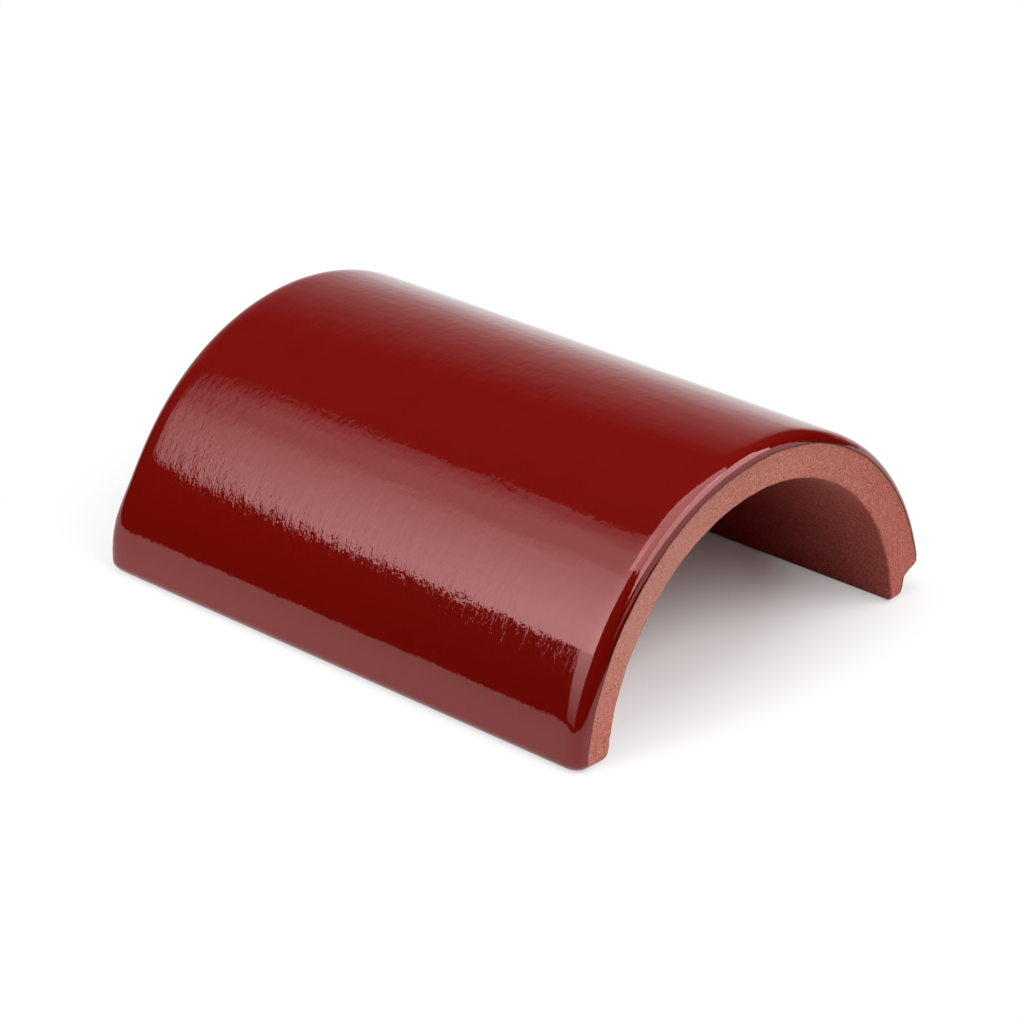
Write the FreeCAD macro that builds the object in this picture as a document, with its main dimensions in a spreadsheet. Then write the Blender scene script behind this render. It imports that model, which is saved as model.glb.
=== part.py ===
"""Glazed ridge tile: a half-round barrel tile, fired as one piece of clay.

The tile stands on its two feet on the floor. Y runs along the ridge, Z is up, and the origin lies on the
floor under the middle of the tile. All sizes are in millimetres.
"""
import FreeCAD, Part
import os

import Sketcher
from FreeCAD import Placement, Rotation, Vector

# Driving sizes: name, millimetres and what it measures
SIZES = (
    ("tile_length", 300.0, "length along the ridge"),
    ("foot_span", 254.0, "outside width on the floor, before the feet are rounded"),
    ("rise", 115.5, "height of the crown above the floor"),
    ("crown_wall", 20.5, "wall at the crown"),
    ("plain_wall", 22.0, "wall at the plain foot"),
    ("trimmed_wall", 27.0, "wall at the trimmed foot, before it is trimmed"),
    ("foot_round", 8.0, "rounding of the feet's outside edges"),
    ("end_round", 7.0, "bullnose on the outside edge of both ends"),
    ("mouth_round", 2.0, "rounding of the inside edge of both ends"),
    ("toe_width", 7.5, "part of the trimmed foot left standing on the floor"),
    ("toe_height", 12.5, "height of the trimmed foot's riser"),
    ("toe_lean", 2.8, "how far the riser leans out at its top"),
    ("lip_height", 18.0, "height of the glazed lip over the trimmed foot"),
    ("cove_round", 5.0, "hollow between the riser and the lip"),
    ("lip_round", 2.5, "rounding all the way round the trimmed face"),
)

NODE = "ridge_tile"
NEAR = 1e-3

# A sketch's own numbers for its origin and axes, and for the points of a line or an arc
ORIGIN = -1
FLOOR_AXIS, MIDDLE_AXIS = range(-1, -3, -1)
START, END, CENTRE = range(1, 4)


def make_sheet(doc):
    """Put the driving sizes into a spreadsheet, one named cell each."""
    sheet = doc.addObject("Spreadsheet::Sheet", "Sizes")
    for row, (name, value, meaning) in enumerate(SIZES, 1):
        sheet.set(f"A{row}", meaning)
        sheet.set(f"B{row}", str(value))
        sheet.setAlias(f"B{row}", name)
    doc.recompute()
    return sheet


def make_sketch(body, name):
    """Add a sketch to the body on its cross-section plane, with X across the tile and Y up."""
    sketch = body.newObject("Sketcher::SketchObject", name)
    plane = next(item for item in body.Origin.OriginFeatures if item.Role == "XZ_Plane")
    sketch.AttachmentSupport = [(plane, "")]
    sketch.MapMode = "FlatFace"
    return sketch


def dimension(sketch, name, constraint, expression):
    """Add a named dimension to a sketch and tie it to the spreadsheet."""
    index = sketch.addConstraint(constraint)
    sketch.renameConstraint(index, name)
    sketch.setExpression(f"Constraints.{name}", expression)


def arch(left, right, height):
    """Return the arc that stands on the floor at both sides and reaches the height halfway between."""
    return Part.Arc(Vector(right, 0, 0), Vector((left + right) / 2, height, 0), Vector(left, 0, 0))


def draw_section(body, sheet):
    """Draw the barrel's section: an outside and an inside arch on two flat feet."""
    sketch = make_sketch(body, "section")
    half_span = sheet.foot_span / 2
    plain_heel = sheet.plain_wall - half_span
    other_heel = half_span - sheet.trimmed_wall
    middle = (plain_heel + other_heel) / 2
    clear_height = sheet.rise - sheet.crown_wall
    outside = sketch.addGeometry(arch(-half_span, half_span, sheet.rise))
    plain_foot = sketch.addGeometry(Part.LineSegment(Vector(-half_span, 0, 0), Vector(plain_heel, 0, 0)))
    inside = sketch.addGeometry(arch(plain_heel, other_heel, clear_height))
    other_foot = sketch.addGeometry(Part.LineSegment(Vector(other_heel, 0, 0), Vector(half_span, 0, 0)))
    crown = sketch.addGeometry(Part.Point(Vector(0, sheet.rise, 0)), True)
    soffit = sketch.addGeometry(Part.Point(Vector(middle, clear_height, 0)), True)

    corners = (
        (outside, END, plain_foot, START),
        (plain_foot, END, inside, END),
        (inside, START, other_foot, START),
        (other_foot, END, outside, START),
    )
    for corner in corners:
        sketch.addConstraint(Sketcher.Constraint("Coincident", *corner))
    for foot in (plain_foot, other_foot):
        for end in (START, END):
            sketch.addConstraint(Sketcher.Constraint("PointOnObject", foot, end, FLOOR_AXIS))
    sketch.addConstraint(Sketcher.Constraint("PointOnObject", outside, CENTRE, MIDDLE_AXIS))
    for arc, top in ((outside, crown), (inside, soffit)):
        sketch.addConstraint(Sketcher.Constraint("Vertical", arc, CENTRE, top, START))
        sketch.addConstraint(Sketcher.Constraint("PointOnObject", top, START, arc))

    span = Sketcher.Constraint("DistanceX", plain_foot, START, other_foot, END, 2 * half_span)
    dimension(sketch, "span", span, "Sizes.foot_span")
    plain_wall = Sketcher.Constraint("DistanceX", plain_foot, START, plain_foot, END, sheet.plain_wall)
    dimension(sketch, "wall_at_plain_foot", plain_wall, "Sizes.plain_wall")
    other_wall = Sketcher.Constraint("DistanceX", other_foot, START, other_foot, END, sheet.trimmed_wall)
    dimension(sketch, "wall_at_other_foot", other_wall, "Sizes.trimmed_wall")
    height = Sketcher.Constraint("DistanceY", ORIGIN, START, crown, START, sheet.rise)
    dimension(sketch, "height", height, "Sizes.rise")
    top_wall = Sketcher.Constraint("DistanceY", soffit, START, crown, START, sheet.crown_wall)
    dimension(sketch, "wall_at_crown", top_wall, "Sizes.crown_wall")
    return sketch


def draw_trim(body, sheet):
    """Draw what is trimmed off the outside of one foot, under its glazed lip."""
    sketch = make_sketch(body, "trim")
    half_span = sheet.foot_span / 2
    riser = half_span - sheet.trimmed_wall + sheet.toe_width
    points = (
        Vector(riser, 0, 0),
        Vector(riser + sheet.toe_lean, sheet.toe_height, 0),
        Vector(half_span, sheet.lip_height, 0),
        Vector(half_span, 0, 0),
    )
    sides = [
        sketch.addGeometry(Part.LineSegment(point, points[(n + 1) % len(points)]))
        for n, point in enumerate(points)
    ]
    for n, side in enumerate(sides):
        following = sides[(n + 1) % len(sides)]
        sketch.addConstraint(Sketcher.Constraint("Coincident", side, END, following, START))
    toe, _, outer_side, floor = sides
    sketch.addConstraint(Sketcher.Constraint("Vertical", outer_side))
    sketch.addConstraint(Sketcher.Constraint("PointOnObject", floor, START, FLOOR_AXIS))
    sketch.addConstraint(Sketcher.Constraint("PointOnObject", floor, END, FLOOR_AXIS))

    reach = Sketcher.Constraint("DistanceX", ORIGIN, START, floor, START, half_span)
    dimension(sketch, "reach", reach, "Sizes.foot_span / 2")
    start = Sketcher.Constraint("DistanceX", ORIGIN, START, toe, START, riser)
    dimension(sketch, "riser", start, "Sizes.foot_span / 2 - Sizes.trimmed_wall + Sizes.toe_width")
    lean = Sketcher.Constraint("DistanceX", toe, START, toe, END, sheet.toe_lean)
    dimension(sketch, "lean", lean, "Sizes.toe_lean")
    step = Sketcher.Constraint("DistanceY", toe, START, toe, END, sheet.toe_height)
    dimension(sketch, "step", step, "Sizes.toe_height")
    lip = Sketcher.Constraint("DistanceY", outer_side, END, outer_side, START, sheet.lip_height)
    dimension(sketch, "lip", lip, "Sizes.lip_height")
    return sketch


def round_edges(body, base, name, size, belongs):
    """Round every edge of the base feature that belongs, by the size of that name."""
    edges = [
        f"Edge{number}"
        for number, edge in enumerate(base.Shape.Edges, 1)
        if belongs(edge.BoundBox)
    ]
    if not edges:
        raise RuntimeError(f"{name}: no edge to round")
    fillet = body.newObject("PartDesign::Fillet", name)
    fillet.Base = (base, edges)
    fillet.setExpression("Radius", f"Sizes.{size}")
    body.Document.recompute()
    return fillet


def near(first, second):
    """Tell whether two places on one axis are the same."""
    return abs(first - second) < NEAR


def make_tile(doc, sheet):
    """Build the tile: the barrel, its rounded ends and feet, and the trimmed foot."""
    body = doc.addObject("PartDesign::Body", NODE)
    body.Label = NODE

    barrel = body.newObject("PartDesign::Pad", "barrel")
    barrel.Profile = draw_section(body, sheet)
    barrel.SideType = "Symmetric"
    barrel.setExpression("Length", "Sizes.tile_length")
    doc.recompute()

    half_length = sheet.tile_length / 2
    half_span = sheet.foot_span / 2

    def on_foot(box):
        return near(box.XMin, box.XMax) and near(abs(box.XMax), half_span)

    def on_end(box):
        return near(box.YMin, box.YMax) and near(abs(box.YMax), half_length)

    def on_outside(box):
        return on_end(box) and near(box.ZMax, sheet.rise)

    def on_mouth(box):
        return on_end(box) and near(box.ZMax, sheet.rise - sheet.crown_wall)

    # The bullnose runs down both ends and under the feet, and the mouth's rounding runs on along their heels.
    feet = round_edges(body, barrel, "feet", "foot_round", on_foot)
    bullnose = round_edges(body, feet, "bullnose", "end_round", on_outside)
    mouth = round_edges(body, bullnose, "mouth", "mouth_round", on_mouth)

    trim = body.newObject("PartDesign::Pocket", "trimmed_foot")
    trim.Profile = draw_trim(body, sheet)
    trim.Type = "ThroughAll"
    trim.SideType = "Symmetric"
    doc.recompute()
    if trim.Shape.Volume >= mouth.Shape.Volume:
        raise RuntimeError("trimmed_foot: nothing was cut")

    def in_cove(box):
        return box.XMin > 0 and near(box.ZMin, sheet.toe_height) and near(box.ZMax, sheet.toe_height)

    def on_lip(box):
        level = near(box.ZMin, box.ZMax) and near(box.XMin, box.XMax)
        return level and box.XMin > 0 and box.ZMin > sheet.toe_height + NEAR

    # The lip's rounding runs on down both ends of the trimmed face and along its toe.
    cove = round_edges(body, trim, "cove", "cove_round", in_cove)
    round_edges(body, cove, "lip", "lip_round", on_lip)
    body.Placement = Placement(Vector(0, 0, 0), Rotation())
    doc.recompute()
    return body


def check(doc, body):
    """Stop when anything in the document failed or the tile isn't one sound solid."""
    for item in doc.Objects:
        if "Invalid" in item.State or "Error" in item.State:
            raise RuntimeError(f"{item.Label} failed: {item.State}")
    shape = body.Shape
    if shape.isNull() or not shape.isValid() or len(shape.Solids) != 1:
        raise RuntimeError(f"{body.Label} is not one sound solid")


def main():
    doc = FreeCAD.newDocument("glazed_ridge_tile")
    sheet = make_sheet(doc)
    tile = make_tile(doc, sheet)
    check(doc, tile)
    os.makedirs("parts", exist_ok=True)
    tile.Shape.exportStep(f"parts/{tile.Label}.step")
    box = tile.Shape.optimalBoundingBox(True, False)
    print(f"{tile.Label}: {box.XLength:.2f} x {box.YLength:.2f} x {box.ZLength:.2f} mm,")
    print(f"  x from {box.XMin:.2f} to {box.XMax:.2f} mm, {tile.Shape.Volume / 1000:.1f} cubic centimetres")


main()
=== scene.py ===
"""Finish of the glazed ridge tile: its fired form, its oxblood glaze and raw clay, and a plain studio.

Everything is in metres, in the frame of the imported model: Y runs along the ridge and Z is up.
"""

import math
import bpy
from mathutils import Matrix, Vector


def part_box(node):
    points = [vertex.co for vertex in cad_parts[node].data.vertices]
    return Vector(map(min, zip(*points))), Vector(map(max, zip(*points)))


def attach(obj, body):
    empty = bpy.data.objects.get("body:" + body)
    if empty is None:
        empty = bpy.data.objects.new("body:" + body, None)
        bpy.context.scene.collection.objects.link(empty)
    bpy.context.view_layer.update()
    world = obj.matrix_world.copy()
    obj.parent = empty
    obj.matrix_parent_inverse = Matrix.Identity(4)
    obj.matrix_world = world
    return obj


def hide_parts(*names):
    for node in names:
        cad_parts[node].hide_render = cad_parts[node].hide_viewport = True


bl_info = {
    "name": "Glazed Ridge Tile",
    "version": (1, 0, 0),
    "blender": (4, 5, 0),
    "location": "3D View > Sidebar > Ridge Tile",
    "description": "Models a half-round ridge tile with its glaze and clay, and the studio that shows it",
    "category": "Object",
}

import bmesh
import bpy
from bpy.props import FloatProperty, FloatVectorProperty, IntProperty, PointerProperty
from mathutils import Matrix, Vector, noise

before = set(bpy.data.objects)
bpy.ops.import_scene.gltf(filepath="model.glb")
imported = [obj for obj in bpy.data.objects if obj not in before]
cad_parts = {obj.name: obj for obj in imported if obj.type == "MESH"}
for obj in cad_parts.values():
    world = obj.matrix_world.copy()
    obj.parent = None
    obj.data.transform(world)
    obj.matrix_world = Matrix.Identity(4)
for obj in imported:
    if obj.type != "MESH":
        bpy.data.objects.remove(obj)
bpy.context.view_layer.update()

NODE = "ridge_tile"
BODY = "root"
PIECE = "glazed_tile"

MM = 0.001
LOW, HIGH = (Vector(corner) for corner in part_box(NODE))
ALONG = Vector((0.0, 1.0, 0.0))
UP = Vector((0.0, 0.0, 1.0))
GLAZE, CLAY = range(2)

# Attributes of the mesh that its materials read. FINISH holds how clear a point is of the glaze's edge, how
# much painted shade the inside of the arch gets there, and how strongly the glaze is rippled there. FLOW
# holds the way along the tile and the way round its arch.
FINISH = "finish"
FLOW = "flow"


def linear(code):
    """Turn an sRGB hex colour into linear red, green and blue."""
    parts = [int(code[start:start + 2], 16) / 255 for start in (1, 3, 5)]
    return [part / 12.92 if part <= 0.04045 else ((part + 0.055) / 1.055) ** 2.4 for part in parts]


def opaque(colour):
    """Add full alpha to a colour, as colour sockets ask."""
    return (*colour, 1.0)


def length(name, description, millimetres):
    """Describe a length that a user may change."""
    return FloatProperty(name=name, description=description, default=millimetres * MM, unit="LENGTH")


def tint(name, description, code):
    """Describe a colour that a user may change."""
    return FloatVectorProperty(name=name, description=description, subtype="COLOR", default=linear(code),
                               min=0.0, max=1.0)


class TileSizes(bpy.types.PropertyGroup):
    """Sizes of the fired tile."""
    tile_length: length("Length", "Length along the ridge", (HIGH.y - LOW.y) / MM)
    rise: length("Rise", "Height of the crown above the floor", HIGH.z / MM)
    foot_span: length("Foot span", "Outside width on the floor, before the feet are rounded", 254.0)
    crown_wall: length("Crown wall", "Wall at the crown", 20.5)
    plain_wall: length("Plain wall", "Wall at the plain foot", 22.0)
    trimmed_wall: length("Trimmed wall", "Wall at the trimmed foot, before it is trimmed", 27.0)
    bullnose: length("Bullnose", "Reach of the soft rounding on the outside edge of both ends", 12.0)
    mouth_round: length("Mouth rounding", "Rounding of the inside edge of both ends", 1.1)
    foot_round: length("Foot rounding", "Rounding of the plain foot's outside edge", 6.5)
    heel_round: length("Heel rounding", "Rounding of the plain foot's inside edge", 5.0)
    foot_end_round: length("Foot end rounding", "Rounding under both ends of the feet", 4.5)
    toe_width: length("Toe width", "Part of the trimmed foot left standing on the floor", 7.5)
    toe_height: length("Toe height", "Height of the trimmed foot's riser", 12.5)
    toe_lean: length("Toe lean", "How far the riser leans out at its top", 2.8)
    lip_height: length("Lip height", "Height of the glazed lip over the trimmed foot", 18.0)
    lip_round: length("Lip rounding", "Rounding along the edges of the trimmed foot", 2.5)
    glaze_coat: length("Glaze coat", "Thickness of the glaze over the clay", 0.25)
    glaze_roll: length("Glaze roll", "How far the glaze stands out over the plain foot", 0.3)
    end_flare: length("End flare", "How much longer the tile is along its plain foot, at its back end", 1.6)
    end_bulge: length("End bulge", "How far that end bulges over its foot", 2.8)
    rings: IntProperty(name="Rings", description="Steps round the arch", default=200, min=40)
    barrel_cuts: IntProperty(name="Barrel cuts", description="Cuts along the barrel", default=95, min=10)


class GlazeLook(bpy.types.PropertyGroup):
    """Look of the oxblood glaze."""
    # The first two colours are the coat's lighter and darker ones: the lighter over the crown and the foot
    # is painted light, the darker low on the walls and near the glaze's edge is painted shade, and clouds
    # mix them at random
    body: tint("Body", "Glaze that drained thin, over the crown and the foot", "#6D100D")
    painted_shade_glaze: tint("Pooled", "Glaze where it ran down and lies thick", "#660904")
    thin: tint("Thin", "Glaze burnt thin along its edge", "#2E0F0B")
    lustre: tint("Lustre", "Red cast that the copper gives to reflections", "#FFC6C6")
    cloud: length("Cloud", "Size of the clouds in its colour", 14.0)
    ripple: length("Ripple", "Width of the widest ripples that the glaze set with", 4.5)
    ripple_reach: length("Ripple reach", "Length of those ripples down the tile", 10.0)
    ripple_depth: length("Ripple depth", "Height of those ripples", 0.28)
    wave: length("Wave", "Width of the long waves over the crown", 6.0)
    wave_reach: length("Wave reach", "Length of those waves along the tile", 26.0)
    wave_depth: length("Wave depth", "Height of those waves", 0.1)


class ClayLook(bpy.types.PropertyGroup):
    """Look of the raw fired clay."""
    body: tint("Body", "Most of the clay", "#B46D5E")
    dark: tint("Dark", "Darker grog", "#955346")
    pale: tint("Pale", "Pale sand grains", "#CE9482")
    bloom: tint("Bloom", "Pale bloom over one haunch of the front end", "#BD857B")
    pit: tint("Pit", "Small open pits", "#5E2E26")
    rim: tint("Rim", "Clay stained brown along the glaze", "#54201A")
    # Red: multiplied over the right leg as painted shade, and towards the feet as a redder cast
    red: tint("Red", "Cast of the clay that was fired harder, towards the feet", "#ECD4D6")
    # Inside: painted shade, multiplied into the clay deep in the arch where the arch shades it
    inside: tint("Inside", "How much the sheltered clay deep in the arch is darkened", "#BE5052")
    grain: length("Grain", "Width of a sand grain", 0.8)
    grit: length("Grit", "How far the grains stand out", 0.25)
    patch: length("Patch", "Width of a blotch", 2.5)
    pit_spacing: length("Pit spacing", "Distance from one pit to the next", 2.4)


class StudioSizes(bpy.types.PropertyGroup):
    """Camera of the studio."""
    azimuth: FloatProperty(name="Azimuth", description="Side that the camera looks from, 0 being along +Y",
                           default=math.radians(-47.757), subtype="ANGLE")
    elevation: FloatProperty(name="Elevation", description="Camera's height above the horizon",
                             default=math.radians(25.718), subtype="ANGLE")
    distance: length("Distance", "From the camera to its aim", 1767.3)
    lens: FloatProperty(name="Lens", description="Focal length in millimetres", default=130.93)
    aim: FloatVectorProperty(name="Aim", description="Point at the middle of the picture", subtype="XYZ",
                             default=(-8.47 * MM, -5.15 * MM, 39.8 * MM), unit="LENGTH")


# The tile's form

# The blank: how its rings crowd towards the feet, and the steps of its edges
RING_CROWDING = 0.75
BULLNOSE_STEPS = 12
MOUTH_STEPS = 4
FACE_CUTS = 5
PITCH = math.pi / 2 / BULLNOSE_STEPS
NEAR = MM / 100

# The bullnose: how full it is, the most of the wall that it and the mouth's rounding take, and the depth of
# trim at which it is down to the lip's rounding
BULLNOSE_POWER = 0.6
SHOULDER_MOST, JAMB_MOST = 0.6, 0.3
TRIM_BLEND = 5 * MM

# The glaze's edge on the bullnose: the row of points that follows it, how far the two rows before it keep
# off, the share of the rest at which the next row lies, and the slack in telling rows apart
EDGE_ROW = 10
EDGE_BEFORE = (math.radians(13), math.radians(5))
EDGE_AFTER = 0.06
ROW_SLACK = 0.01

# That edge's angle in degrees at the plain foot, how it changes round the arch, how far and how fast it
# wanders, how far apart the two ends lie in that wandering, and the angle over which the coat gets whole
EDGE_ANGLE, EDGE_SLOPE, EDGE_BEND = 79.0, -33.0, 16.0
EDGE_WANDERS = ((2.0, 14.0), (1.5, 43.4))
EDGE_ENDS_APART = 5.0 / 14.0
CLEAR_SPAN = math.radians(60)

# The trimmed foot: how softly its riser runs into the lip's underside, and that into the barrel
COVE_BLEND, LIP_BLEND = 3.0 * MM, 2.4 * MM

# The back end over the plain foot: heights between which its flare fades, the middle and width of its bulge,
# and the height from which the bulge is whole
FLARE_FADES = (8 * MM, 60 * MM)
BULGE_AT = (22 * MM, 18 * MM)
BULGE_WHOLE = 10 * MM

# The ripples: heights between which they set in and die down, how much of them is lost, distances from each
# end at which they begin and are whole, and the least of them on the barrel and on the bullnose
RIPPLES_RISE, RIPPLES_FALL = (28 * MM, 54 * MM), (52 * MM, 74 * MM)
RIPPLES_LOST = 0.6
RIPPLES_FROM_FRONT, RIPPLES_FROM_BACK = (5 * MM, 90 * MM), (5 * MM, 45 * MM)
RIPPLES_LEAST, RIPPLES_ON_BULLNOSE = 0.18, 0.12

# Painted shade inside the arch: its share at the mouth, and how far inside it is whole
PAINTED_SHADE_AT_MOUTH = 0.4
PAINTED_SHADE_REACH = 110 * MM

# Relief of each surface: its height and the size of its hollows in millimetres, and its seed
RELIEF = {
    "vault": ((0.20, 22.0, 0.0), (0.08, 7.0, 0.0)),
    "mouth": ((0.32, 4.5, 3.0),),
    "clay": ((0.08, 9.0, 0.0),),
    "glaze": ((0.08, 42.0, 0.0), (0.03, 17.0, 0.0)),
    "trimmed": ((0.35, 8.0, 7.0), (0.2, 3.5, 2.0)),
}

# Height at which the relief is whole, how far the mouth is worn back, the height and width of the glaze's
# roll over the plain foot with its unevenness, and the depths of trim between which the clay gets rough
STANDING = 2 * MM
MOUTH_WEAR = 0.05 * MM
ROLL_AT = (4.5 * MM, 2.5 * MM)
ROLL_UNEVEN, ROLL_HOLLOW = 0.35, 28 * MM
ROUGH_FROM = (0.3 * MM, 3 * MM)

# The lower edge of the glaze: its height at the plain foot, and how far below the lip's top it ends
GLAZE_FOOT, GLAZE_BELOW_LIP = 0.8 * MM, 2.0 * MM


def quarter(height, radius):
    """How far a rounded lower edge stands back at a height above the floor."""
    rest = max(radius - height, 0.0)
    return radius - math.sqrt(max(radius * radius - rest * rest, 0.0))


def soft_max(first, second, blend):
    """The larger of two values, rounded off where they meet."""
    share = min(max(0.5 + 0.5 * (first - second) / blend, 0.0), 1.0)
    return second + (first - second) * share + blend * share * (1.0 - share)


def soft_min(first, second, blend):
    """The smaller of two values, rounded off where they meet."""
    return -soft_max(-first, -second, blend)


def bell(value, middle, width):
    """A smooth hump of height one."""
    return math.exp(-((value - middle) / width) ** 2)


def ease(value, low, high):
    """A smooth rise from none to one."""
    share = min(max((value - low) / (high - low), 0.0), 1.0)
    return share * share * (3.0 - 2.0 * share)


def swell(place, size, seed=0.0):
    """Smooth relief between -1 and 1 with hollows about this size."""
    return noise.noise(place / size + Vector((seed, seed, seed)))


def unevenness(surface, point):
    """How far the relief of a surface stands out at a point."""
    return sum(height * MM * swell(point, size * MM, seed) for height, size, seed in RELIEF[surface])


class Arch:
    """One arc of the section, which stands on the floor at both sides."""

    def __init__(self, left, right, height):
        half = (right - left) / 2
        self.radius = (half * half + height * height) / (2 * height)
        self.centre = Vector(((left + right) / 2, 0.0, height - self.radius))
        self.start = math.atan2(-self.centre.z, -half)
        self.sweep = math.atan2(-self.centre.z, half) - self.start

    def at(self, share):
        """The point at a share of the way from the left foot to the right one."""
        angle = self.start + share * self.sweep
        return self.centre + Vector((math.cos(angle), 0.0, math.sin(angle))) * self.radius


class Ring:
    """One cut through the wall, at a share of the way round the arch and towards one end of the tile."""

    def __init__(self, form, share, side):
        sizes = form.sizes
        self.share, self.side = share, side
        self.outer, inner = form.outside.at(share), form.inside.at(share)
        self.wall = (inner - self.outer).length
        self.inward = (inner - self.outer) / self.wall
        self.height = max(self.outer.z, 0.0)
        self.plain = share < 0.5

        self.trimmed = 0.0 if self.plain else form.trimmed_back(self.height, self.outer.x)
        self.back = self.trimmed + quarter(self.height, sizes.foot_round if self.plain else sizes.lip_round)
        self.heel = quarter(max(inner.z, 0.0), sizes.heel_round if self.plain else sizes.lip_round)
        self.room = self.wall - self.back - self.heel
        longer = form.flare(self.height) if self.plain and side > 0 else 0.0
        self.reach = form.half_length + longer - quarter(self.height, sizes.foot_end_round)
        cut_down = (sizes.bullnose - sizes.lip_round) * ease(self.trimmed, 0.0, TRIM_BLEND)
        self.shoulder = min(sizes.bullnose - cut_down, SHOULDER_MOST * self.room)
        self.jamb = min(sizes.mouth_round, JAMB_MOST * self.room)


class TileForm:
    """Turns a plain spun arch into the fired tile, point by point."""

    def __init__(self, sizes):
        self.sizes = sizes
        self.half_span = sizes.foot_span / 2
        self.half_length = sizes.tile_length / 2
        self.outside = Arch(-self.half_span, self.half_span, sizes.rise)
        self.inside = Arch(sizes.plain_wall - self.half_span, self.half_span - sizes.trimmed_wall,
                           sizes.rise - sizes.crown_wall)
        self.girth = self.outside.radius * abs(self.outside.sweep)
        self.toe = self.half_span - sizes.trimmed_wall + sizes.toe_width
        self.zones = {
            "barrel": self.on_barrel,
            "bullnose": self.on_bullnose,
            "face": self.on_face,
            "mouth": self.in_mouth,
            "vault": self.in_vault,
        }

    def blank_share(self, spot):
        """How far round the arch a point of the blank lies."""
        angle = math.atan2(spot.z - self.outside.centre.z, spot.x)
        share = (angle - self.outside.start) / self.outside.sweep
        return share - RING_CROWDING * math.sin(math.tau * share) / math.tau

    def blank_zone(self, spot):
        """Which part of the blank's section a point lies on, and where on it."""
        sizes = self.sizes
        depth = self.outside.radius - math.hypot(spot.x, spot.z - self.outside.centre.z)
        reach = abs(spot.y)
        shoulder = self.half_length - sizes.bullnose
        jamb = self.half_length - sizes.mouth_round
        if depth < sizes.bullnose + NEAR and reach > shoulder - NEAR:
            return "bullnose", math.atan2(max(reach - shoulder, 0.0), sizes.bullnose - depth)
        if depth > sizes.crown_wall - sizes.mouth_round - NEAR and reach > jamb - NEAR:
            rest = depth - sizes.crown_wall + sizes.mouth_round
            return "mouth", math.atan2(max(reach - jamb, 0.0), rest)
        if reach > self.half_length - NEAR:
            width = sizes.crown_wall - sizes.mouth_round - sizes.bullnose
            return "face", (depth - sizes.bullnose) / width
        if depth < sizes.crown_wall / 2:
            return "barrel", spot.y / shoulder
        return "vault", spot.y / jamb

    def glaze_edge(self, share, side):
        """Angle on the bullnose at which the glaze ends, furthest round at the plain foot."""
        angle = EDGE_ANGLE + EDGE_SLOPE * share + EDGE_BEND * share * share
        for wander, pace in EDGE_WANDERS:
            angle += wander * noise.noise(Vector((share, side * EDGE_ENDS_APART, 0.0)) * pace)
        return math.radians(angle)

    def move_to_edge(self, angle, edge):
        """Slide a bullnose angle of the blank so that one row of points follows the glaze's edge."""
        marks = (
            (0, 0.0),
            (EDGE_ROW - 2, edge - EDGE_BEFORE[0]),
            (EDGE_ROW - 1, edge - EDGE_BEFORE[1]),
            (EDGE_ROW, edge),
            (EDGE_ROW + 1, edge + (math.pi / 2 - edge) * EDGE_AFTER),
            (BULLNOSE_STEPS, math.pi / 2),
        )
        for (low, first), (high, second) in zip(marks, marks[1:]):
            if angle <= (high + ROW_SLACK) * PITCH:
                return first + (second - first) * (angle / PITCH - low) / (high - low)
        return math.pi / 2

    def trimmed_back(self, height, reach):
        """How far the trimmed foot stands back from the barrel at a height above the floor."""
        sizes = self.sizes
        knee = self.toe + sizes.toe_lean
        riser = self.toe + sizes.toe_lean * height / sizes.toe_height
        rate = (self.half_span - knee) / (sizes.lip_height - sizes.toe_height)
        face = soft_max(riser, knee + rate * (height - sizes.toe_height), COVE_BLEND)
        return reach - soft_min(face, reach, LIP_BLEND)

    def flare(self, height):
        """How much longer the tile is at a height over its plain foot, at its back end."""
        sizes = self.sizes
        bulge = sizes.end_bulge * bell(height, *BULGE_AT) * ease(height, 0.0, BULGE_WHOLE)
        return sizes.end_flare * (1.0 - ease(height, *FLARE_FADES)) + bulge

    def ripples(self, ring, y):
        """How strongly the glaze is rippled at a place on the barrel."""
        level = ease(ring.height, *RIPPLES_RISE) * (1.0 - RIPPLES_LOST * ease(ring.height, *RIPPLES_FALL))
        whole = RIPPLES_FROM_FRONT if ring.side < 0 else RIPPLES_FROM_BACK
        return RIPPLES_LEAST + (1.0 - RIPPLES_LEAST) * level * ease(ring.reach - abs(y), *whole)

    # Each zone gives a point's depth in the wall, its place along the tile, its way along the surface, its
    # outward direction, and its finish: clear of the glaze's edge, painted shade inside the arch, rippled.

    def on_barrel(self, ring, where):
        """A point on the outside, at a share of the way from the middle to the bullnose."""
        y = where * (ring.reach - ring.shoulder)
        return ring.back, y, y, -ring.inward, Vector((1.0, 0.0, self.ripples(ring, y)))

    def on_bullnose(self, ring, where):
        """A point on the outside edge of an end, at an angle round it."""
        edge = self.glaze_edge(ring.share, ring.side)
        angle = self.move_to_edge(where, edge)
        sunk = ring.shoulder * (1.0 - max(math.cos(angle), 0.0) ** BULLNOSE_POWER)
        short = ring.shoulder * (1.0 - max(math.sin(angle), 0.0) ** BULLNOSE_POWER)
        along = ring.side * (ring.reach - ring.shoulder + ring.shoulder * angle)
        out = -ring.inward * math.cos(angle) + ALONG * ring.side * math.sin(angle)
        clear = ease(edge - angle, 0.0, CLEAR_SPAN) if where < (EDGE_ROW + 1.5) * PITCH else 1.0
        finish = Vector((clear, 0.0, RIPPLES_ON_BULLNOSE))
        return ring.back + sunk, ring.side * (ring.reach - short), along, out, finish

    def on_face(self, ring, where):
        """A point on an end face, at a share of the way from the bullnose to the mouth."""
        depth = ring.back + ring.shoulder + (ring.room - ring.shoulder - ring.jamb) * where
        y = ring.side * ring.reach
        return depth, y, y, ALONG * ring.side, Vector((1.0, 0.0, 0.0))

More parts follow.
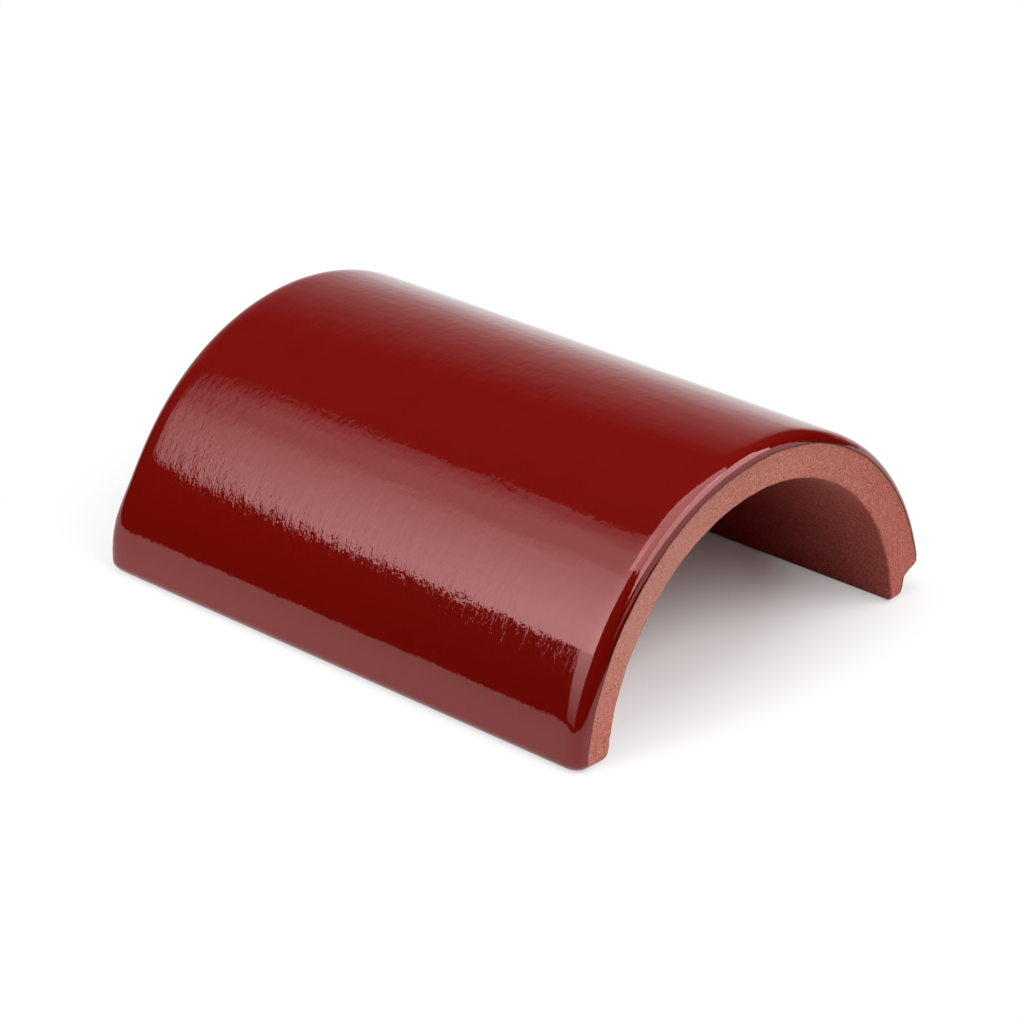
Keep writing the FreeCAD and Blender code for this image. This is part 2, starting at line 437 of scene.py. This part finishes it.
    def in_mouth(self, ring, where):
        """A point on the inside edge of an end, at an angle round it."""
        depth = ring.wall - ring.heel - ring.jamb * (1.0 - math.cos(where))
        y = ring.side * (ring.reach - ring.jamb * (1.0 - math.sin(where)))
        out = ring.inward * math.cos(where) + ALONG * ring.side * math.sin(where)
        # Painted shade on the mouth's rounding, fading out towards the end face
        painted_shade = PAINTED_SHADE_AT_MOUTH * (1.0 - where / (math.pi / 2))
        return depth, y, y, out, Vector((1.0, painted_shade, 0.0))

    def in_vault(self, ring, where):
        """A point on the inside, at a share of the way from the middle to the mouth."""
        y = where * (ring.reach - ring.jamb)
        # Painted shade in the vault, growing to whole deep inside the arch
        deep = ease(ring.reach - abs(y), 0.0, PAINTED_SHADE_REACH)
        painted_shade = PAINTED_SHADE_AT_MOUTH + (1.0 - PAINTED_SHADE_AT_MOUTH) * deep
        return ring.wall - ring.heel, y, y, ring.inward, Vector((1.0, painted_shade, 0.0))

    def place(self, spot):
        """Return where a point of the blank lies on the tile, with its finish and its flow."""
        zone, where = self.blank_zone(spot)
        ring = Ring(self, self.blank_share(spot), 1.0 if spot.y > 0 else -1.0)
        depth, y, along, out, finish = self.zones[zone](ring, where)
        bare = zone == "face" or (zone == "bullnose" and where > (EDGE_ROW + 0.5) * PITCH)
        point = ring.outer + ring.inward * depth + ALONG * y
        point = point + out * self.relief(zone, ring, point, bare)
        return point, finish, Vector((along, ring.share * self.girth, 0.0))

    def relief(self, zone, ring, point, bare):
        """How far the surface stands out or back at a point: glaze swell, roll and coat, and rough clay."""
        sizes = self.sizes
        if zone == "vault":
            raised = unevenness("vault", point)
        elif zone == "mouth":
            raised = unevenness("mouth", point) - MOUTH_WEAR
        elif bare:
            raised = unevenness("clay", point) - sizes.glaze_coat
        else:
            raised = unevenness("glaze", point)
            if ring.plain:
                uneven = 1.0 + ROLL_UNEVEN * swell(Vector((0.0, point.y, 0.0)), ROLL_HOLLOW)
                raised += sizes.glaze_roll * bell(ring.height, *ROLL_AT) * uneven
            raised += ease(ring.trimmed, *ROUGH_FROM) * unevenness("trimmed", point)
        return raised * ease(ring.height, 0.0, STANDING)


def spin_blank(sizes, form):
    """Spin the wall's section, with rounded corners, round the arch and return the mesh."""
    bm = bmesh.new()
    crown = form.outside.centre.z + form.outside.radius
    soffit = crown - sizes.crown_wall
    half = form.half_length
    corners = [bm.verts.new((0.0, y, z)) for y, z in
               ((-half, crown), (half, crown), (half, soffit), (-half, soffit))]
    bm.faces.new(corners)
    for pair, radius, segments in ((corners[:2], sizes.bullnose, BULLNOSE_STEPS),
                                   (corners[2:], sizes.mouth_round, MOUTH_STEPS)):
        bmesh.ops.bevel(bm, geom=pair, offset=radius, offset_type="OFFSET", segments=segments, profile=0.5,
                        affect="VERTICES", material=-1)
    bmesh.ops.delete(bm, geom=bm.faces[:], context="FACES_ONLY")
    longest = [edge for edge in bm.edges if edge.calc_length() > half]
    across = [edge for edge in bm.edges if abs(edge.verts[0].co.y - edge.verts[1].co.y) < NEAR
              and edge.calc_length() > 4 * sizes.mouth_round]
    bmesh.ops.subdivide_edges(bm, edges=longest, cuts=sizes.barrel_cuts)
    bmesh.ops.subdivide_edges(bm, edges=across, cuts=FACE_CUTS)

    centre = form.outside.centre
    to_left = form.outside.start - math.pi / 2
    bmesh.ops.rotate(bm, verts=bm.verts[:], cent=centre, matrix=Matrix.Rotation(-to_left, 3, "Y"))
    bmesh.ops.spin(bm, geom=bm.verts[:] + bm.edges[:], cent=centre, axis=-ALONG, angle=form.outside.sweep,
                   steps=sizes.rings)
    return bm


def is_glazed(form, sizes, face):
    """Tell whether a face of the blank carries glaze on the tile."""
    spot = face.calc_center_median()
    share = form.blank_share(spot)
    if form.outside.at(share).z < (GLAZE_FOOT if share < 0.5 else sizes.lip_height - GLAZE_BELOW_LIP):
        return False
    zone, where = form.blank_zone(spot)
    return zone == "barrel" or (zone == "bullnose" and where < EDGE_ROW * PITCH)


def model_tile(sizes):
    """Model the tile and return its mesh."""
    form = TileForm(sizes)
    bm = spin_blank(sizes, form)
    for face in bm.faces:
        face.material_index = GLAZE if is_glazed(form, sizes, face) else CLAY
        face.smooth = True
    finish = bm.verts.layers.float_vector.new(FINISH)
    flow = bm.verts.layers.float_vector.new(FLOW)
    for vert in bm.verts:
        vert.co, vert[finish], vert[flow] = form.place(vert.co.copy())
    feet = bmesh.ops.holes_fill(bm, edges=[edge for edge in bm.edges if edge.is_boundary])["faces"]
    for face in feet:
        face.material_index = CLAY
    bmesh.ops.triangulate(bm, faces=feet)
    bmesh.ops.recalc_face_normals(bm, faces=bm.faces[:])
    for edge in bm.edges:
        edge.smooth = len({face.material_index for face in edge.link_faces}) == 1
    mesh = bpy.data.meshes.new(PIECE)
    bm.to_mesh(mesh)
    bm.free()
    return mesh


# Materials

# The middle of the pale bloom, on one haunch of the front end
BLOOM_SPOT = (-75 * MM, -150 * MM, 72 * MM)


def add_node(tree, kind, sockets=None, **settings):
    """Add a node with its settings, and set its sockets, by identifier, or link them to other nodes."""
    node = tree.nodes.new(kind)
    for name, value in settings.items():
        setattr(node, name, value)
    for name, value in (sockets or {}).items():
        socket = next(item for item in node.inputs if item.identifier == name)
        if isinstance(value, bpy.types.Node):
            value = next(item for item in value.outputs if item.enabled)
        if isinstance(value, bpy.types.NodeSocket):
            tree.links.new(value, socket)
        else:
            socket.default_value = value
    return node


def new_material(name):
    """Return an empty node material with its tree."""
    material = bpy.data.materials.new(name)
    material.use_nodes = True
    material.node_tree.nodes.clear()
    return material, material.node_tree


def glaze_material(look):
    """Oxblood glaze, a copper-red glass melted onto the clay.

    It gives the eye a deep red under a wet gloss whose reflections are slightly red themselves, a little
    lighter over the crown and the foot as painted light and darker low on the walls and near its edge as
    painted shade, clouded at random.
    barrel, which fray the edges of the reflections, and with long low waves over the crown. It is burnt
    brown along the rim where it stops.
    """
    material, tree = new_material("oxblood_glaze")
    spot = add_node(tree, "ShaderNodeTexCoord").outputs["Object"]
    _, _, height = add_node(tree, "ShaderNodeSeparateXYZ", {"Vector": spot}).outputs
    finish = add_node(tree, "ShaderNodeAttribute", attribute_name=FINISH).outputs["Vector"]
    clear, _, rippled = add_node(tree, "ShaderNodeSeparateXYZ", {"Vector": finish}).outputs
    flow = add_node(tree, "ShaderNodeAttribute", attribute_name=FLOW).outputs["Vector"]

    # Painted light and shade: the coat is lighter over the crown and at the foot, darker low on the walls
    # and near the glaze's edge, and clouded at random
    painted_light_over_crown = add_node(tree, "ShaderNodeMapRange", {
        "Value": height, "From Min": 30 * MM, "From Max": 85 * MM, "To Min": 0.1, "To Max": 0.9,
    })
    painted_light_over_foot = add_node(tree, "ShaderNodeMapRange", {
        "Value": height, "From Min": 6 * MM, "From Max": 24 * MM, "To Min": 0.9, "To Max": 0.0,
    })
    cloud = add_node(tree, "ShaderNodeTexNoise", {"Vector": spot, "Scale": 1 / look.cloud, "Detail": 6.0})
    clouded = add_node(tree, "ShaderNodeMapRange", {
        "Value": cloud, "From Min": 0.3, "From Max": 0.7, "To Min": 0.85, "To Max": 1.15,
    })
    painted_shade_by_edge = add_node(tree, "ShaderNodeMapRange", {"Value": clear, "From Min": 0.3, "From Max": 1.0})
    drained = add_node(tree, "ShaderNodeMath", {
        "Value": painted_light_over_crown, "Value_001": painted_light_over_foot,
    }, operation="MAXIMUM")
    for factor in (clouded, painted_shade_by_edge):
        drained = add_node(tree, "ShaderNodeMath", {
            "Value": drained, "Value_001": factor,
        }, operation="MULTIPLY")
    coat = add_node(tree, "ShaderNodeMix", {
        "Factor_Float": drained, "A_Color": opaque(look.painted_shade_glaze), "B_Color": opaque(look.body),
    }, data_type="RGBA")
    off_rim = add_node(tree, "ShaderNodeMapRange", {"Value": clear, "From Min": 0.0, "From Max": 0.022})
    shade = add_node(tree, "ShaderNodeMix", {
        "Factor_Float": off_rim, "A_Color": opaque(look.thin), "B_Color": coat,
    }, data_type="RGBA")

    ripple_spot = add_node(tree, "ShaderNodeVectorMath", {
        "Vector": flow, "Vector_001": (look.ripple, look.ripple_reach, 1.0),
    }, operation="DIVIDE")
    ripple = add_node(tree, "ShaderNodeTexNoise", {
        "Vector": ripple_spot, "Scale": 1.0, "Detail": 3.0, "Roughness": 0.7,
    })
    ripple_height = add_node(tree, "ShaderNodeMath", {
        "Value": rippled, "Value_001": look.ripple_depth,
    }, operation="MULTIPLY")
    wave_spot = add_node(tree, "ShaderNodeVectorMath", {
        "Vector": flow, "Vector_001": (look.wave_reach, look.wave, 1.0),
    }, operation="DIVIDE")
    wave = add_node(tree, "ShaderNodeTexNoise", {
        "Vector": wave_spot, "Scale": 1.0, "Detail": 1.0, "Roughness": 0.4,
    })
    wave_height = add_node(tree, "ShaderNodeMapRange", {
        "Value": height, "From Min": 55 * MM, "From Max": 95 * MM,
        "To Min": 0.15 * look.wave_depth, "To Max": look.wave_depth,
    })
    waves = add_node(tree, "ShaderNodeMath", {"Value": wave, "Value_001": wave_height}, operation="MULTIPLY")
    relief = add_node(tree, "ShaderNodeMath", {
        "Value": ripple, "Value_001": ripple_height, "Value_002": waves,
    }, operation="MULTIPLY_ADD")
    bump = add_node(tree, "ShaderNodeBump", {"Height": relief, "Strength": 1.0, "Distance": 1.0})
    shader = add_node(tree, "ShaderNodeBsdfPrincipled", {
        "Base Color": shade, "Roughness": 0.04, "IOR": 1.5, "Specular IOR Level": 0.85,
        "Specular Tint": opaque(look.lustre), "Normal": bump,
    })
    add_node(tree, "ShaderNodeOutputMaterial", {"Surface": shader})
    return material


def clay_material(look):
    """Raw fired terracotta, pressed and wire-cut sandy clay.

    It gives the eye a matt brick pink, with pale sand, darker grog, small open pits and a pale bloom on one
    haunch. Towards the feet it is redder, on the right leg it is darker and redder with painted shade, deep
    inside the arch it is darker with painted shade, and along the glaze it is stained brown.
    """
    material, tree = new_material("fired_clay")
    spot = add_node(tree, "ShaderNodeTexCoord").outputs["Object"]
    across, _, height = add_node(tree, "ShaderNodeSeparateXYZ", {"Vector": spot}).outputs
    finish = add_node(tree, "ShaderNodeAttribute", attribute_name=FINISH).outputs["Vector"]
    clear, painted_shade, _ = add_node(tree, "ShaderNodeSeparateXYZ", {"Vector": finish}).outputs

    patch = add_node(tree, "ShaderNodeTexNoise", {"Vector": spot, "Scale": 1 / look.patch, "Detail": 2.0})
    grain = add_node(tree, "ShaderNodeTexNoise", {
        "Vector": spot, "Scale": 1 / look.grain, "Detail": 2.0, "Roughness": 0.7,
    })
    level = add_node(tree, "ShaderNodeMix", {"Factor_Float": 0.2, "A_Float": grain, "B_Float": patch})
    sand = add_node(tree, "ShaderNodeValToRGB", {"Fac": level})
    stops = sand.color_ramp.elements
    stops[0].position, stops[0].color = 0.33, opaque(look.dark)
    stops[1].position, stops[1].color = 0.69, opaque(look.pale)
    stops.new(0.5).color = opaque(look.body)

    from_haunch = add_node(tree, "ShaderNodeVectorMath", {
        "Vector": spot, "Vector_001": BLOOM_SPOT,
    }, operation="DISTANCE")
    bloomed = add_node(tree, "ShaderNodeMapRange", {
        "Value": from_haunch, "From Min": 25 * MM, "From Max": 65 * MM, "To Min": 0.4, "To Max": 0.0,
    })
    pits = add_node(tree, "ShaderNodeTexVoronoi", {"Vector": spot, "Scale": 1 / look.pit_spacing})
    pitted = add_node(tree, "ShaderNodeMapRange", {
        "Value": pits, "From Min": 0.10, "From Max": 0.20, "To Min": 0.6, "To Max": 0.0,
    })
    # Painted shade: the right leg is darkened and reddened by the Red tint; towards the feet the clay is
    # redder
    painted_shade_right_leg = add_node(tree, "ShaderNodeMapRange", {
        "Value": across, "From Min": 10 * MM, "From Max": 95 * MM,
    })
    at_foot = add_node(tree, "ShaderNodeMapRange", {
        "Value": height, "From Min": 8 * MM, "From Max": 40 * MM, "To Min": 0.5, "To Max": 0.0,
    })
    painted_shade_and_redder_feet = add_node(tree, "ShaderNodeMath", {"Value": painted_shade_right_leg, "Value_001": at_foot}, operation="MAXIMUM")
    at_rim = add_node(tree, "ShaderNodeMapRange", {
        "Value": clear, "From Min": 0.0, "From Max": 0.1, "To Min": 0.85, "To Max": 0.0,
    })
    # The last blend darkens the clay deep in the arch by Inside: painted shade
    shade = sand
    for share, colour, blend in ((bloomed, look.bloom, "MIX"), (pitted, look.pit, "MIX"),
                                 (painted_shade_and_redder_feet, look.red, "MULTIPLY"), (at_rim, look.rim, "MIX"),
                                 (painted_shade, look.inside, "MULTIPLY")):
        shade = add_node(tree, "ShaderNodeMix", {
            "Factor_Float": share, "A_Color": shade, "B_Color": opaque(colour),
        }, data_type="RGBA", blend_type=blend)

    bump = add_node(tree, "ShaderNodeBump", {"Height": grain, "Strength": 1.0, "Distance": look.grit})
    shader = add_node(tree, "ShaderNodeBsdfPrincipled", {
        "Base Color": shade, "Roughness": 0.93, "Specular IOR Level": 0.25, "Normal": bump,
    })
    add_node(tree, "ShaderNodeOutputMaterial", {"Surface": shader})
    return material


# Studio

WHITE = opaque(linear("#FFFFFF"))

# The floor's outline, which ends at a dark table edge on the camera's side
FLOOR = ((-0.44, 2.4), (-0.44, -0.28), (0.05, -0.28), (0.45, -0.90), (2.4, -0.90), (2.4, 2.4))

# Cards that the glaze mirrors: corners, and brightness at the floor and half a metre up
CARD_GRADE = 0.5
CARDS = {
    "side_card": (
        ((-0.90, -0.10, 0.0), (-0.90, 0.31, 0.0), (-0.90, 0.48, 0.45), (-0.90, -0.10, 0.45)),
        0.5, 3.4,
    ),
    "front_card": (
        ((-0.04, -1.2, 0.0), (1.0, -0.75, 0.0), (1.0, -0.75, 0.6), (-0.04, -1.2, 0.6)),
        1.0, 1.4,
    ),
    "top_card": (
        ((-0.85, -0.9, 1.5), (0.7, -0.9, 1.5), (0.7, -0.1, 1.5), (0.15, 0.5, 1.5), (-0.85, 0.5, 1.5)),
        2.6, 2.6,
    ),
}

# The side softbox: shares of its full brightness between its upper edge, at 0, and its lower one, at 1
SIDE_STEPS = ((0.07, 0.18), (0.2, 0.36), (0.33, 0.38), (0.43, 0.58), (0.67, 0.84))
SIDE_TOP, SIDE_FULL = (0.0, 0.14), (0.85, 1.0)

# The backdrop: its radius, its height, the direction of its middle and its spread
BACKDROP = (2.0, 1.9, math.radians(40), math.radians(110))

# The dark room, and the steps of what is round
ROOM_RADIUS = 4.0
ROUND_STEPS = 48


def add_object(name, data):
    """Put new data into the scene as an object at the origin."""
    item = bpy.data.objects.new(name, data)
    bpy.context.scene.collection.objects.link(item)
    return item


def facing(place, target, along):
    """A matrix that stands at a place, looks down its -Z at the target and has its X along a direction."""
    back = (place - target).normalized()
    across = (along - back * along.dot(back)).normalized()
    up = back.cross(across)
    turn = Matrix((across, up, back)).transposed().to_4x4()
    return Matrix.Translation(place) @ turn


def add_lamp(name, place, target, along, size, radiance):
    """Add a softbox of a size in metres that looks this bright, 1 being white."""
    lamp = bpy.data.lights.new(name, "AREA")
    lamp.shape = "RECTANGLE"
    lamp.size, lamp.size_y = size
    lamp.energy = radiance * math.pi * size[0] * size[1]
    item = add_object(name, lamp)
    item.matrix_world = facing(Vector(place), Vector(target), Vector(along))
    item.visible_camera = False
    return item


def grade_side_lamp(lamp):
    """Dim a softbox in steps towards its upper edge, and to its far end, and cut its lower edge aslant."""
    lamp.use_nodes = True
    tree = lamp.node_tree
    tree.nodes.clear()
    place = add_node(tree, "ShaderNodeNewGeometry").outputs["Parametric"]
    along, down, _ = add_node(tree, "ShaderNodeSeparateXYZ", {"Vector": place}).outputs
    steps = add_node(tree, "ShaderNodeValToRGB", {"Fac": down})
    stops = steps.color_ramp.elements
    for stop, (position, level) in zip(stops, (SIDE_TOP, SIDE_FULL)):
        stop.position, stop.color = position, (level, level, level, 1.0)
    for position, level in SIDE_STEPS:
        stops.new(position).color = (level, level, level, 1.0)
    endward = add_node(tree, "ShaderNodeMapRange", {
        "Value": along, "From Min": 0.22, "From Max": 0.93, "To Min": 1.0, "To Max": 0.49,
    })
    at_end = add_node(tree, "ShaderNodeMapRange", {
        "Value": along, "From Min": 0.93, "From Max": 1.0, "To Min": 1.0, "To Max": 0.45,
    })
    slant = add_node(tree, "ShaderNodeMapRange", {
        "Value": along, "From Min": 0.74, "From Max": 1.0, "To Min": 0.0, "To Max": 0.125,
    })
    lowered = add_node(tree, "ShaderNodeMath", {"Value": down, "Value_001": slant}, operation="ADD")
    level = add_node(tree, "ShaderNodeMapRange", {
        "Value": lowered, "From Min": 1.0, "From Max": 1.02, "To Min": 1.0, "To Max": 0.0,
    })
    for factor in (endward, at_end):
        level = add_node(tree, "ShaderNodeMath", {"Value": level, "Value_001": factor}, operation="MULTIPLY")
    glow = add_node(tree, "ShaderNodeEmission", {"Color": steps, "Strength": level})
    add_node(tree, "ShaderNodeOutputLight", {"Surface": glow})


def shown_rays(tree):
    """One where a ray comes from the camera, a reflection or a glass, and none elsewhere."""
    path = add_node(tree, "ShaderNodeLightPath").outputs
    shown = path["Is Camera Ray"]
    for other in ("Is Glossy Ray", "Is Transmission Ray"):
        shown = add_node(tree, "ShaderNodeMath", {
            "Value": shown, "Value_001": path[other],
        }, operation="MAXIMUM")
    return shown


def add_paper(tree, code, share, strength, glow_colour=WHITE):
    """Make a material matt paper of a hex colour, joined by share with a plain glow."""
    paper = add_node(tree, "ShaderNodeBsdfDiffuse", {"Color": opaque(linear(code))})
    glow = add_node(tree, "ShaderNodeEmission", {"Color": glow_colour, "Strength": strength})
    mixed = add_node(tree, "ShaderNodeMixShader", {"Fac": share, "Shader": paper, "Shader_001": glow})
    add_node(tree, "ShaderNodeOutputMaterial", {"Surface": mixed})


def floor_material():
    """White paper, which keeps the tile's shadow close by, thinned there and beside the plain foot by a
    white glow of painted light, and is plain white further off.
    """
    material, tree = new_material("white_paper")
    spot = add_node(tree, "ShaderNodeTexCoord").outputs["Object"]
    across, _, _ = add_node(tree, "ShaderNodeSeparateXYZ", {"Vector": spot}).outputs
    away = add_node(tree, "ShaderNodeVectorMath", {"Vector": spot}, operation="LENGTH")
    # Painted light: a white glow rising from 120 mm out thins the tile's shadow near it, and makes the paper
    # plain white further off
    far = add_node(tree, "ShaderNodeMapRange", {
        "Value": away, "From Min": 120 * MM, "From Max": 270 * MM, "To Min": 0.02, "To Max": 1.0,
    })
    # Painted light: glow that thins the contact shadow on the floor beside the plain foot
    beside = add_node(tree, "ShaderNodeMapRange", {
        "Value": across, "From Min": -110 * MM, "From Max": -126 * MM, "To Min": 0.0, "To Max": 0.8,
    })
    white = add_node(tree, "ShaderNodeMath", {"Value": far, "Value_001": beside}, operation="MAXIMUM")
    share = add_node(tree, "ShaderNodeMath", {
        "Value": white, "Value_001": shown_rays(tree),
    }, operation="MULTIPLY")
    add_paper(tree, "#F3F3F3", share, 1.0)
    return material


def backdrop_material(height):
    """Graded paper, white at the floor and a warm dark at its top.

    It is lit up to its top behind the tile, and only in a low strip along the floor on the right.
    """
    material, tree = new_material("graded_paper")
    spot = add_node(tree, "ShaderNodeTexCoord").outputs["Object"]
    across, along, above = add_node(tree, "ShaderNodeSeparateXYZ", {"Vector": spot}).outputs
    turn = add_node(tree, "ShaderNodeMath", {"Value": along, "Value_001": across}, operation="ARCTAN2")
    behind = add_node(tree, "ShaderNodeMapRange", {
        "Value": turn, "From Min": math.radians(24), "From Max": math.radians(31),
    })
    rightward = add_node(tree, "ShaderNodeMapRange", {
        "Value": turn, "From Min": math.radians(-15), "From Max": math.radians(7),
    })
    low = add_node(tree, "ShaderNodeMapRange", {
        "Value": above, "From Min": 0.15, "From Max": 0.5, "To Min": 1.0, "To Max": 0.0,
    })
    strip = add_node(tree, "ShaderNodeMath", {"Value": low, "Value_001": rightward}, operation="MULTIPLY")
    lit = add_node(tree, "ShaderNodeMath", {"Value": strip, "Value_001": behind}, operation="MAXIMUM")
    fade = add_node(tree, "ShaderNodeMapRange", {
        "Value": above, "From Min": 0.0, "From Max": height, "To Min": 1.0, "To Max": 0.0,
    })
    faded = add_node(tree, "ShaderNodeMath", {"Value": fade, "Value_001": 1.3}, operation="POWER")
    level = add_node(tree, "ShaderNodeMath", {"Value": faded, "Value_001": lit}, operation="MULTIPLY")
    warmth = add_node(tree, "ShaderNodeMapRange", {"Value": above, "From Min": 0.0, "From Max": 0.8})
    warm = add_node(tree, "ShaderNodeMix", {
        "Factor_Float": warmth, "A_Color": WHITE, "B_Color": opaque(linear("#FFE0DD")),
    }, data_type="RGBA")
    add_paper(tree, "#959595", shown_rays(tree), level, warm)
    return material


def card_material(name, low, high):
    """A pale card that the glaze mirrors, brighter or dimmer upwards."""
    material, tree = new_material(name)
    spot = add_node(tree, "ShaderNodeTexCoord").outputs["Object"]
    _, _, above = add_node(tree, "ShaderNodeSeparateXYZ", {"Vector": spot}).outputs
    level = add_node(tree, "ShaderNodeMapRange", {
        "Value": above, "From Min": 0.0, "From Max": CARD_GRADE, "To Min": low, "To Max": high,
    })
    add_paper(tree, "#3F3F3F", shown_rays(tree), level)
    return material


def dark_material():
    """Dark matt cloth, for the room round the table."""
    material, tree = new_material("dark_cloth")
    cloth = add_node(tree, "ShaderNodeBsdfDiffuse", {"Color": opaque(linear("#1D1D1D"))})
    add_node(tree, "ShaderNodeOutputMaterial", {"Surface": cloth})
    return material


def stage_piece(name, bm, material):
    """Turn a mesh into a stage object."""
    mesh = bpy.data.meshes.new(name)
    bm.to_mesh(mesh)
    bm.free()
    mesh.materials.append(material)
    item = add_object(name, mesh)
    return item


def lay_floor(corners):
    """Lay the white paper."""
    bm = bmesh.new()
    bm.faces.new([bm.verts.new((x, y, 0.0)) for x, y in corners])
    stage_piece("floor", bm, floor_material())


def add_card(name, corners, low, high):
    """Add a flat card beside or over the table; the glaze mirrors it but the camera looks past it."""
    bm = bmesh.new()
    bm.faces.new([bm.verts.new(corner) for corner in corners])
    stage_piece(name, bm, card_material(name, low, high)).visible_camera = False


def hang_backdrop(radius, height, middle, spread):
    """Hang a curved backdrop behind the tile, across a spread of directions."""
    bm = bmesh.new()
    low = bm.verts.new((radius, 0.0, 0.0))
    high = bm.verts.new((radius, 0.0, height))
    edge = bm.edges.new((low, high))
    bmesh.ops.rotate(bm, verts=[low, high], matrix=Matrix.Rotation(middle - spread / 2, 3, "Z"))
    bmesh.ops.spin(bm, geom=[low, high, edge], axis=UP, angle=spread, steps=ROUND_STEPS)
    stage_piece("backdrop", bm, backdrop_material(height)).visible_camera = False


def darken_room():
    """Close a dark room round the table, which only the camera looks through."""
    bm = bmesh.new()
    bmesh.ops.create_uvsphere(bm, u_segments=ROUND_STEPS, v_segments=ROUND_STEPS // 2, radius=ROOM_RADIUS)
    stage_piece("dark_room", bm, dark_material()).visible_camera = False


def whiten_world():
    """Give the scene a plain white world."""
    world = bpy.data.worlds.new("white")
    world.use_nodes = True
    background = world.node_tree.nodes["Background"]
    background.inputs["Color"].default_value = WHITE
    background.inputs["Strength"].default_value = 1.0
    bpy.context.scene.world = world


def place_camera(studio):
    """Set up the camera at the picture's viewing angle."""
    data = bpy.data.cameras.new("camera")
    data.sensor_width = 36.0
    data.lens = studio.lens
    data.clip_end = 20.0
    camera = add_object("camera", data)
    across = Vector((math.cos(studio.azimuth), math.sin(studio.azimuth), 0.0))
    back = across.cross(UP) * math.cos(studio.elevation) + UP * math.sin(studio.elevation)
    aim = Vector(studio.aim)
    camera.matrix_world = facing(aim + back * studio.distance, aim, across)
    bpy.context.scene.camera = camera


class RIDGETILE_OT_add_tile(bpy.types.Operator):
    """Model the tile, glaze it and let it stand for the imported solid"""
    bl_idname = "ridge_tile.add_tile"
    bl_label = "Add Glazed Tile"

    def execute(self, context):
        scene = context.scene
        mesh = model_tile(scene.ridge_tile_sizes)
        mesh.materials.append(glaze_material(scene.ridge_tile_glaze))
        mesh.materials.append(clay_material(scene.ridge_tile_clay))
        tile = add_object(PIECE, mesh)
        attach(tile, BODY)
        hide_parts(NODE)
        return {"FINISHED"}


class RIDGETILE_OT_set_stage(bpy.types.Operator):
    """Lay the floor and set up the lamps and the camera"""
    bl_idname = "ridge_tile.set_stage"
    bl_label = "Set Stage"

    def execute(self, context):
        scene = context.scene
        scene.view_settings.view_transform = "Standard"
        lay_floor(FLOOR)
        for name, (corners, low, high) in CARDS.items():
            add_card(name, corners, low, high)
        hang_backdrop(*BACKDROP)
        darken_room()
        whiten_world()
        side = add_lamp("side_lamp", place=(-0.575, 0.44, 0.725), target=(0.0, 0.44, 0.06), along=ALONG,
                        size=(1.03, 0.85), radiance=5.0)
        grade_side_lamp(side.data)
        top = add_lamp("top_lamp", place=(0.0, 0.0, 1.30), target=(0.0, 0.0, 0.0), along=ALONG,
                       size=(0.9, 0.9), radiance=3.3)
        top.visible_glossy = False
        add_lamp("front_lamp", place=(0.33, -1.07, 1.06), target=(0.0, 0.0, 0.06), along=(1.0, 0.3, 0.0),
                 size=(1.9, 1.05), radiance=4.3)
        place_camera(scene.ridge_tile_studio)
        return {"FINISHED"}


class RIDGETILE_PT_panel(bpy.types.Panel):
    """Lists the tile's sizes, looks and steps"""
    bl_label = "Glazed Ridge Tile"
    bl_idname = "RIDGETILE_PT_panel"
    bl_space_type = "VIEW_3D"
    bl_region_type = "UI"
    bl_category = "Ridge Tile"

    def draw(self, context):
        layout = self.layout
        for operator in (RIDGETILE_OT_add_tile, RIDGETILE_OT_set_stage):
            layout.operator(operator.bl_idname)
        for name, group in GROUPS.items():
            box = layout.box()
            for prop in group.__annotations__:
                box.prop(getattr(context.scene, name), prop)


GROUPS = {
    "ridge_tile_sizes": TileSizes,
    "ridge_tile_glaze": GlazeLook,
    "ridge_tile_clay": ClayLook,
    "ridge_tile_studio": StudioSizes,
}
CLASSES = (*GROUPS.values(), RIDGETILE_OT_add_tile, RIDGETILE_OT_set_stage, RIDGETILE_PT_panel)


def register():
    """Register the classes and give the scene their settings."""
    for item in CLASSES:
        bpy.utils.register_class(item)
    for name, group in GROUPS.items():
        setattr(bpy.types.Scene, name, PointerProperty(type=group))


def unregister():
    """Take the settings and the classes away again."""
    for name in GROUPS:
        delattr(bpy.types.Scene, name)
    for item in reversed(CLASSES):
        bpy.utils.unregister_class(item)


def main():
    """Make the tile and its stage."""
    register()
    bpy.ops.ridge_tile.add_tile()
    bpy.ops.ridge_tile.set_stage()


if __name__ == "__main__":
    main()
